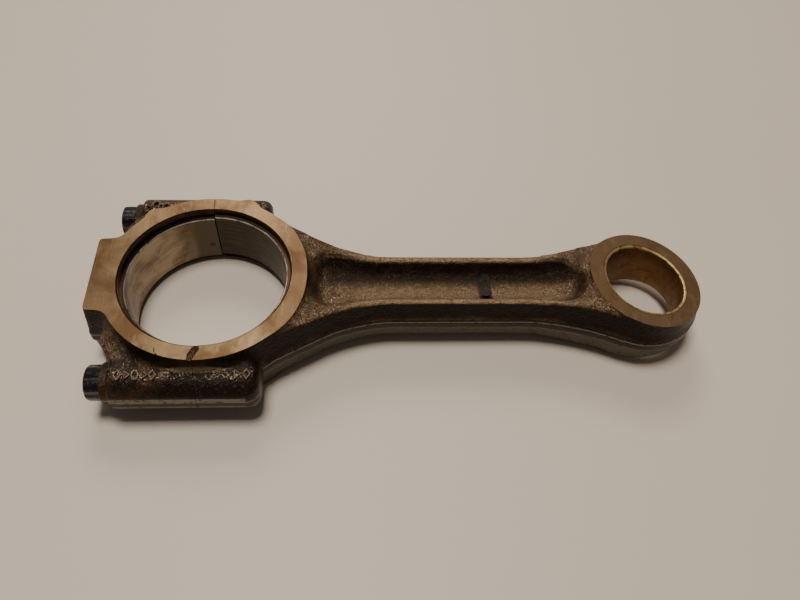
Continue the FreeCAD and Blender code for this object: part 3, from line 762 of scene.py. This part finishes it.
def pad_plan(grow):
    """The balance pad on the cap's far side."""
    reach, half = PAD_X + grow, 15.2 * MM + grow
    return corners(both_sides([(-reach, half), (-20 * MM, half)]),
                   [1.0 * MM, 0, 0, 1.0 * MM])


def web_plan(grow):
    """The webs between the pad and the barrels."""
    return corners(both_sides([(-30 * MM - grow, 22.5 * MM), (-27 * MM - grow, 27.5 * MM + grow),
                               (-20 * MM, 32 * MM + grow), (-5 * MM, 33 * MM + grow)]))


def lobe_plans(sizes, grow=0.0):
    """The two lobes of the side face, on the rear side."""
    radius = sizes.lobe_r + FACE_Z * math.tan(sizes.draft) + grow
    angles = [math.radians(angle) for angle in LOBE_ANGLES]
    return [disc(sizes.lobe_at * math.cos(angle), sizes.lobe_at * math.sin(angle), radius, 72)
            for angle in angles]


def side_profile(sizes):
    """The shank seen from the front: flange heights along X, as a plan standing up."""
    tops = [(17 * MM, FACE_Z - 0.7 * MM), (56 * MM, sizes.shank_top),
            (106 * MM, sizes.shank_top), (EYE_X - sizes.eye_r - 1 * MM, FACE_Z - 1.5 * MM),
            (137.3 * MM, sizes.eye_half - 0.2 * MM)]
    radii = [0, 60 * MM, 60 * MM, 0, 0]
    return corners(both_sides(tops), radii + radii[::-1])


def recess(name, sizes, sign):
    """The space of one recess: floor outline, sloping walls."""
    points = both_sides([(36.5 * MM, 8.4 * MM), (52 * MM, 4.9 * MM),
                         (108 * MM, 4.9 * MM), (120.5 * MM, 6.4 * MM)])
    radii = [3 * MM, 40 * MM, 55 * MM, 4 * MM]
    shape = flared(corners(points, radii + radii[::-1]), 12 * MM, -math.tan(math.radians(27)))
    bmesh.ops.holes_fill(shape, edges=[e for e in shape.edges if e.is_boundary], sides=0)
    bmesh.ops.translate(shape, verts=shape.verts[:], vec=(0, 0, sizes.web_half))
    bmesh.ops.scale(shape, verts=shape.verts[:], vec=(1, 1, sign))
    bmesh.ops.recalc_face_normals(shape, faces=shape.faces[:])
    return solid(name, shape)


def barrel_blank(name, sizes, sign):
    """The forged barrel round one bolt, from the cap's shoulder to the rod's blind end."""
    reach = sizes.cap_barrel + sizes.rod_barrel
    shape = bmesh.new()
    bmesh.ops.create_cone(shape, cap_ends=True, segments=72, radius1=sizes.barrel_r,
                          radius2=sizes.barrel_r, depth=reach)
    for side, rounding in ((-1, 0.6 * MM), (1, 3.2 * MM)):
        rim = [e for e in shape.edges if all(side * v.co.z > reach / 2 - 0.01 * MM
                                             for v in e.verts)]
        bmesh.ops.bevel(shape, geom=rim, offset=rounding, segments=6, profile=0.5,
                        affect="EDGES", material=-1)
    turn = Matrix.Rotation(math.pi / 2, 4, "Y")
    where = Matrix.Translation(((sizes.rod_barrel - sizes.cap_barrel) / 2, sign * BOLT_Y, 0))
    bmesh.ops.transform(shape, matrix=where @ turn, verts=shape.verts[:])
    return solid(name, shape)


def forge_blank(sizes):
    """Everything that comes out of the dies, softened, before trimming and machining."""
    slope = math.tan(sizes.draft)
    over = FACE_Z + 2.5 * MM
    ring = drafted("blank", disc(0, 0, sizes.ring_r + FACE_Z * slope), over, slope)
    side = prism("side", side_profile(sizes), 100 * MM, Matrix.Rotation(math.pi / 2, 4, "X"))
    shank = combine(drafted("shank", shank_plan(sizes, 0), over, slope), side, "INTERSECT")
    for sign in (1, -1):
        combine(shank, recess("recess", sizes, sign), "DIFFERENCE")
    eye_mid = sizes.eye_r + sizes.eye_half * slope
    parts = [shank]
    parts += [drafted("lobe", plan, over, slope) for plan in lobe_plans(sizes)]
    parts += [
        drafted("eye", disc(EYE_X, 0, eye_mid), over + 2 * MM, slope),
        drafted("pad", pad_plan(0), over, slope),
        drafted("web", web_plan(0), 7.5 * MM, slope),
        barrel_blank("barrel_front", sizes, -1), barrel_blank("barrel_rear", sizes, 1),
    ]
    lower = Matrix.Translation((0, 0, sizes.land_z))
    out = sizes.flash
    for plan in (disc(0, 0, sizes.ring_r + FACE_Z * slope + out), shank_plan(sizes, out),
                 disc(EYE_X, 0, eye_mid + out), pad_plan(out * 0.6),
                 web_plan(out)):
        parts.append(prism("flash", plan, sizes.land, lower))
    for part in parts:
        combine(ring, part, "UNION")
    mesh = ring.modifiers.new("mesh", "REMESH")
    mesh.mode = "VOXEL"
    mesh.voxel_size = sizes.grain
    settle(ring)
    soften(ring, sizes.hollow_passes, hollows_only=True)
    soften(ring, sizes.soft_passes)
    return ring


def trim_die(sizes):
    """The upright outline to which the flash is trimmed."""
    slope = math.tan(sizes.draft)
    out, tall = sizes.land_out, 30 * MM
    start, end = -sizes.cap_barrel - 3 * MM, sizes.rod_barrel + 0.1 * MM
    round_end = 4.5 * MM
    die = prism("die", disc(0, 0, sizes.ring_r + FACE_Z * slope + out, 220), tall)
    for plan in (shank_plan(sizes, out),
                 corners(both_sides([(start, BARREL_FLAT_Y), (end, BARREL_FLAT_Y)]),
                         [0, round_end, round_end, 0]),
                 *lobe_plans(sizes, out),
                 disc(EYE_X, 0, sizes.eye_r + sizes.eye_half * slope + out, 220),
                 pad_plan(0), web_plan(out)):
        combine(die, prism("outline", plan, tall), "UNION")
    return die


def square(half):
    """A plan: a square about the origin."""
    return corners([(-half, -half), (half, -half), (half, half), (-half, half)])


def eye_cutter(sizes, half, slab, sign, deeper=0.0):
    """A slab that lies on one tapered face of the eye."""
    tilt = (Matrix.Translation((EYE_X, 0, sign * (sizes.eye_half - deeper)))
            @ Matrix.Rotation(sign * sizes.taper, 4, "Y")
            @ Matrix.Translation((0, 0, sign * slab / 2)))
    return prism("tilted", square(half), slab / 2, tilt)


def machine(forging, sizes):
    """Side faces, tapered eye faces, both bores, bolt seats and holes."""
    slab = 40 * MM
    for sign in (1, -1):
        level = Matrix.Translation((0, 0, sign * (FACE_Z + slab / 2)))
        combine(forging, prism("slab", square(WIDE), slab / 2, level), "DIFFERENCE")
        combine(forging, eye_cutter(sizes, WIDE, slab, sign), "DIFFERENCE")
    edge, past = 0.4 * MM, 5 * MM
    bore = [(0, -FACE_Z - past), (HOUSING_R + edge + past, -FACE_Z - past),
            (HOUSING_R, -FACE_Z + edge), (HOUSING_R, FACE_Z - edge),
            (HOUSING_R + edge + past, FACE_Z + past), (0, FACE_Z + past)]
    combine(forging, turned("housing", bore, 220), "DIFFERENCE")
    combine(forging, prism("bush_bore", disc(EYE_X, 0, BUSH_R, 180), slab), "DIFFERENCE")
    ease = 0.25 * MM
    mouth_r, clear_r, tapped_r = 4.75 * MM, 4.25 * MM, 4.0 * MM
    full_depth, drill_point = 16.4 * MM, 18.0 * MM
    pad = [(0, -sizes.seat), (sizes.seat_r - ease, -sizes.seat), (sizes.seat_r, ease - sizes.seat),
           (sizes.seat_r, -20 * MM), (0, -20 * MM)]
    hole = [(0, -sizes.seat - past), (mouth_r, -sizes.seat - past), (mouth_r, -sizes.seat),
            (clear_r, -sizes.seat + mouth_r - clear_r), (clear_r, 0), (tapped_r, ease),
            (tapped_r, full_depth), (0, drill_point)]
    for sign in (1, -1):
        where = (0, sign * BOLT_Y, 0)
        combine(forging, turned("seat", pad, 64, where, (1, 0, 0)), "UNION")
        combine(forging, turned("hole", hole, 48, where, (1, 0, 0)), "DIFFERENCE")
    return forging


def raised_mark(forging, sides, x, angle, sign, size, proud):
    """A small raised mark on a barrel: a hollow shape of a few sides."""
    root, inner, outer, ease = 7.0 * MM, size * 0.28, size * 0.56, 0.2 * MM
    mark = turned("mark", [(inner, root), (outer, root), (outer, proud - ease),
                           (outer - ease, proud), (inner + ease, proud),
                           (inner, proud - ease)], sides)
    narrow = Matrix.Diagonal((0.85, 1.15, 1, 1))
    aim = (Matrix.Translation((x, sign * BOLT_Y, 0))
           @ Matrix.Rotation(math.radians(-sign * (angle - 90)), 4, "X"))
    mark.data.transform(aim @ narrow)
    combine(forging, mark, "UNION")


def small_relief(forging, sizes):
    """Raised marks on the barrels, the lump in the upper recess and the chip at the joint."""
    for sign, marks in ((-1, FRONT_MARKS), (1, REAR_MARKS)):
        for sides, x, angle, size, proud in marks:
            raised_mark(forging, sides, x * MM, angle, sign, size * MM, proud * MM)
    top = sizes.web_half + 1.5 * MM
    combine(forging, prism("lump", traced(LUMP, 0.9 * MM, LUMP_X), 1.4 * MM,
                           Matrix.Translation((0, 0, top - 1.4 * MM))), "UNION")
    for name, points, rounding, x, z, half in (
            ("groove", LUMP_GROOVE, 0.35 * MM, LUMP_X, top + 0.1 * MM, 0.4 * MM),
            ("chip", CHIP, 0.0, 0.0, FACE_Z, 0.35 * MM),
            ("nick", NICK, 0.0, 0.0, FACE_Z, 0.2 * MM)):
        combine(forging, prism(name, traced(points, rounding, x), half,
                               Matrix.Translation((0, 0, z))), "DIFFERENCE")


def split(forging, towards, gap):
    """One side of the fracture; attributes say how level and how broken its surface is."""
    near = [(x * MM + towards * gap, y * MM) for y, x in CRACK_LINE]
    block = corners(near + [(towards * WIDE, near[-1][1]), (towards * WIDE, near[0][1])])
    piece = forging.copy()
    piece.data = forging.data.copy()
    bpy.context.scene.collection.objects.link(piece)
    combine(piece, prism("keep", block, 60 * MM), "INTERSECT")
    cleaned(piece)
    level = piece.data.attributes.new("level", "FLOAT", "POINT")
    for vert in piece.data.vertices:
        level.data[vert.index].value = abs(vert.normal.z)
    flags = piece.data.attributes.new("broken", "FLOAT", "FACE")
    for face in piece.data.polygons:
        near_joint = abs(face.center.x) < 0.9 * MM
        flags.data[face.index].value = float(near_joint and abs(face.normal.x) > 0.9)
    return piece


# -------------------------------- operators

class Maker:
    """What the makers share."""
    bl_options = {"REGISTER", "UNDO"}

    def sheet(self, context):
        """The sizes and the colours that are set in the scene."""
        return context.scene.rod_sizes, context.scene.rod_colours


class ROD_OT_forging(Maker, bpy.types.Operator):
    """Forge, trim and machine the rod, then split off its cap"""
    bl_idname = "rod.forging"
    bl_label = "Rod and cap"

    def execute(self, context):
        sizes, colours = self.sheet(context)
        forging = combine(forge_blank(sizes), trim_die(sizes), "INTERSECT")
        machine(forging, sizes)
        small_relief(forging, sizes)
        finish = forged_finish(colours, sizes)
        for name, node, body, towards in (("rod", "rod_forging", "rod", 1),
                                          ("cap", "bearing_cap", "cap", -1)):
            piece = split(forging, towards, sizes.crack)
            piece.name = piece.data.name = f"forged_{name}"
            smooth_shaded(piece)
            place(piece, body, node, finish)
        bpy.data.objects.remove(forging)
        return {"FINISHED"}


class ROD_OT_shells(Maker, bpy.types.Operator):
    """Turn the two bearing shells"""
    bl_idname = "rod.shells"
    bl_label = "Bearing shells"

    def execute(self, context):
        sizes, colours = self.sheet(context)
        upper = lining_finish("upper_lining", colours.rod_lining, ROD_LINING_DARK,
                              rough=0.34, sheen=0.06, relieved=0.0)
        lower = lining_finish("lower_lining", colours.cap_lining, CAP_LINING_DARK,
                              rough=0.15, sheen=0.25, relieved=1.0)
        edge = 0.35 * MM
        profile = [(JOURNAL_R + edge, -SHELL_Z), (HOUSING_R, -SHELL_Z), (HOUSING_R, SHELL_Z),
                   (JOURNAL_R + edge, SHELL_Z), (JOURNAL_R, SHELL_Z - edge),
                   (JOURNAL_R, -SHELL_Z + edge)]
        gap = sizes.crack * 2.2 / JOURNAL_R
        for half, slot, finish, way in (("rod", "upper_lining", upper, 1),
                                        ("cap", "lower_lining", lower, -1)):
            piece = turned(f"{half}_shell", profile, 110, (0, 0, way * sizes.stagger),
                           sweep=math.pi - 2 * gap, start=gap - way * math.pi / 2)
            smooth_shaded(piece)
            place(piece, half, f"{half}_bearing_shell", finish)
        return {"FINISHED"}


class ROD_OT_bush(Maker, bpy.types.Operator):
    """Turn the bush and cut its ends to the slope of the eye"""
    bl_idname = "rod.bush"
    bl_label = "Small-end bush"

    def execute(self, context):
        sizes, colours = self.sheet(context)
        tall = 30 * MM
        outside = BUSH_R - 0.02 * MM
        tube = [(PIN_R, -tall), (outside, -tall), (outside, tall), (PIN_R, tall)]
        bush = turned("bush", tube, 160, (EYE_X, 0, 0))
        slab = 60 * MM
        for sign in (1, -1):
            combine(bush, eye_cutter(sizes, slab, slab, sign, deeper=0.04 * MM), "DIFFERENCE")
        shape = bmesh.new()
        shape.from_mesh(bush.data)
        rims = [e for e in shape.edges if not e.is_boundary and len(e.link_faces) == 2
                and e.calc_face_angle() > 1.0]
        inner = [e for e in rims if all(math.hypot(v.co.x - EYE_X, v.co.y) < PIN_R + 0.1 * MM
                                        for v in e.verts)]
        bmesh.ops.bevel(shape, geom=inner, offset=0.85 * MM, segments=2, profile=0.5,
                        affect="EDGES", material=-1)
        shape.to_mesh(bush.data)
        shape.free()
        smooth_shaded(bush, 30)
        place(bush, "rod", "small_end_bush", bronze_finish(colours))
        return {"FINISHED"}


class ROD_OT_bolts(Maker, bpy.types.Operator):
    """Turn, broach and thread the two cap bolts"""
    bl_idname = "rod.bolts"
    bl_label = "Cap bolts"

    def execute(self, context):
        sizes, colours = self.sheet(context)
        finish = bolt_finish(colours, sizes)
        seat = -sizes.seat
        thread_r, core_r, waist_r, tip = 3.9 * MM, 3.35 * MM, 3.5 * MM, 0.6 * MM
        stem = [(0, seat - 0.5 * MM), (thread_r, seat - 0.5 * MM), (thread_r, seat + 4 * MM),
                (waist_r, seat + 5 * MM), (waist_r, 0), (core_r, 0.5 * MM),
                (core_r, BOLT_TIP_X - tip), (core_r - tip, BOLT_TIP_X), (0, BOLT_TIP_X)]
        for side, sign in (("front", -1), ("rear", 1)):
            where = (0, sign * BOLT_Y, 0)
            bolt = turned(f"cap_bolt_{side}_piece", stem, 64, where, (1, 0, 0))
            combine(bolt, bolt_head(sizes, sign), "UNION")
            combine(bolt, thread(sign, core_r, thread_r), "UNION")
            smooth_shaded(bolt, 32)
            place(bolt, f"{side}_bolt", f"cap_bolt_{side}", finish)
        return {"FINISHED"}


def bolt_head(sizes, sign):
    """Twelve-point head with eased ends and a shallow dish."""
    def outline(shape):
        """A plan: twelve rounded points with valleys between them."""
        ring = bmesh.ops.create_circle(shape, cap_ends=True, radius=HEAD_R,
                                       segments=HEAD_POINTS * 6)
        for vert in ring["verts"]:
            angle = math.atan2(vert.co.y, vert.co.x) * HEAD_POINTS
            vert.co *= 1 - VALLEY * (0.5 - 0.5 * math.cos(angle)) ** 0.8
    tall = -sizes.seat - HEAD_END_X
    head = prism("head", outline, tall / 2, Matrix.Translation((0, 0, tall / 2)))
    edge = 0.9 * MM
    envelope = [(0, 0), (HEAD_R + 0.02 * MM, 0), (HEAD_R + 0.02 * MM, tall - edge),
                (HEAD_R - 0.25 * MM, tall - edge * 0.45), (HEAD_R - edge, tall),
                (HEAD_R - 1.9 * MM, tall), (HEAD_R - 2.3 * MM, tall - 0.5 * MM),
                (0, tall - 0.7 * MM)]
    combine(head, turned("envelope", envelope, 96), "INTERSECT")
    aim = Matrix.Rotation(-math.pi / 2, 4, "Y")
    head.data.transform(Matrix.Translation((-sizes.seat, sign * BOLT_Y, 0)) @ aim)
    return head


def thread(sign, core_r, outer_r):
    """One helical ridge round the end of the bolt."""
    pitch, turns = 1.25 * MM, 10.4
    root_r = core_r - 0.15 * MM
    ridge = [(root_r, -0.46 * pitch), (outer_r, -0.07 * pitch), (outer_r, 0.07 * pitch),
             (root_r, 0.46 * pitch)]
    start = BOLT_TIP_X - (turns + 0.5) * pitch
    shape = bmesh.new()
    verts = [shape.verts.new((r, 0, start + z)) for r, z in ridge]
    face = shape.faces.new(verts)
    steps = int(turns * 32)
    bmesh.ops.spin(shape, geom=[face] + face.edges[:] + verts, cent=(0, 0, 0), axis=(0, 0, 1),
                   dvec=(0, 0, turns * pitch / steps), angle=turns * FULL_TURN, steps=steps,
                   use_duplicate=False)
    bmesh.ops.recalc_face_normals(shape, faces=shape.faces[:])
    made = solid("ridge", shape)
    aim = Matrix.Rotation(math.pi / 2, 4, "Y")
    made.data.transform(Matrix.Translation((0, sign * BOLT_Y, 0)) @ aim)
    return made


# -------------------------------- floor, light and camera

FLOOR_HALF, FLOOR_GAP = 6.0, 0.02 * MM  # half its side; space under the piece
LENS = 32.51
CAMERA_AT = Vector((45.5, -142.6, 197.7)) * MM
CAMERA_RIGHT = Vector((0.99746, -0.04246, 0.05713))
CAMERA_BACK = Vector((-0.07117, -0.57857, 0.81252))
LAMPS = (  # name, place, aim, size, watts, tint
    ("back_light", (0.0, 0.95, 0.95), (0.07, 0.0, 0.0), 0.55, 7.5, (1.0, 0.93, 0.84)),
    ("top_light", (-0.05, 0.05, 1.1), (0.05, 0.0, 0.0), 0.35, 11.0, (1.0, 0.95, 0.88)),
    ("low_light", (0.3, -0.9, 0.35), (0.07, 0.0, 0.0), 0.8, 0.15, (1.0, 0.93, 0.86)),
)
SKY_COLOUR, SKY_STRENGTH = (1.0, 0.94, 0.88, 1), 0.12


class ROD_OT_stage(Maker, bpy.types.Operator):
    """Floor, light and camera"""
    bl_idname = "rod.stage"
    bl_label = "Stage"

    def execute(self, context):
        colours = self.sheet(context)[1]
        shape = bmesh.new()
        bmesh.ops.create_grid(shape, x_segments=1, y_segments=1, size=FLOOR_HALF)
        bmesh.ops.translate(shape, verts=shape.verts[:], vec=(0, 0, -FACE_Z - FLOOR_GAP))
        floor = solid("floor", shape)
        floor.data.materials.append(floor_finish(colours))
        for lamp in LAMPS:
            area_light(*lamp)
        world = bpy.data.worlds.new("studio")
        world.use_nodes = True
        sky = world.node_tree.nodes["Background"]
        sky.inputs["Color"].default_value = SKY_COLOUR
        sky.inputs["Strength"].default_value = SKY_STRENGTH
        context.scene.world = world
        lens = bpy.data.cameras.new("camera")
        lens.lens = LENS
        lens.clip_start = 0.01
        camera = bpy.data.objects.new("camera", lens)
        context.scene.collection.objects.link(camera)
        up = CAMERA_BACK.cross(CAMERA_RIGHT)
        turn = Matrix((CAMERA_RIGHT, up, CAMERA_BACK)).transposed().to_4x4()
        camera.matrix_world = Matrix.Translation(CAMERA_AT) @ turn
        context.scene.camera = camera
        return {"FINISHED"}


def area_light(name, position, target, size, power, tint):
    """A round studio lamp at a place, aimed at another."""
    lamp = bpy.data.lights.new(name, "AREA")
    lamp.shape = "DISK"
    lamp.size = size
    lamp.energy = power
    lamp.color = tint
    light = bpy.data.objects.new(name, lamp)
    bpy.context.scene.collection.objects.link(light)
    aim = (Vector(target) - Vector(position)).to_track_quat("-Z", "Y")
    light.matrix_world = Matrix.Translation(position) @ aim.to_matrix().to_4x4()


# -------------------------------- panel and run

class ROD_PT_panel(bpy.types.Panel):
    """Sizes, colours and makers of the connecting rod"""
    bl_idname = "ROD_PT_panel"
    bl_label = "Connecting rod"
    bl_space_type = "VIEW_3D"
    bl_region_type = "UI"
    bl_category = "Connecting rod"

    def draw(self, context):
        """Both sheets in a box each, then a button for every maker."""
        for group in (context.scene.rod_sizes, context.scene.rod_colours):
            box = self.layout.box()
            for name in group.bl_rna.properties.keys():
                if name not in ("rna_type", "name"):
                    box.prop(group, name)
        for operator in OPERATORS:
            self.layout.operator(operator.bl_idname)


OPERATORS = (ROD_OT_forging, ROD_OT_shells, ROD_OT_bush, ROD_OT_bolts, ROD_OT_stage)
CLASSES = (ForgingSizes, FinishColours, *OPERATORS, ROD_PT_panel)


def register():
    """Register the classes and hang the two sheets on the scene."""
    for cls in CLASSES:
        bpy.utils.register_class(cls)
    bpy.types.Scene.rod_sizes = bpy.props.PointerProperty(type=ForgingSizes)
    bpy.types.Scene.rod_colours = bpy.props.PointerProperty(type=FinishColours)


def unregister():
    """Undo what register does."""
    del bpy.types.Scene.rod_colours
    del bpy.types.Scene.rod_sizes
    for cls in reversed(CLASSES):
        bpy.utils.unregister_class(cls)


def main():
    """Make every piece."""
    register()
    bpy.ops.rod.forging()
    bpy.ops.rod.shells()
    bpy.ops.rod.bush()
    bpy.ops.rod.bolts()
    bpy.ops.rod.stage()


if __name__ == "__main__":
    main()
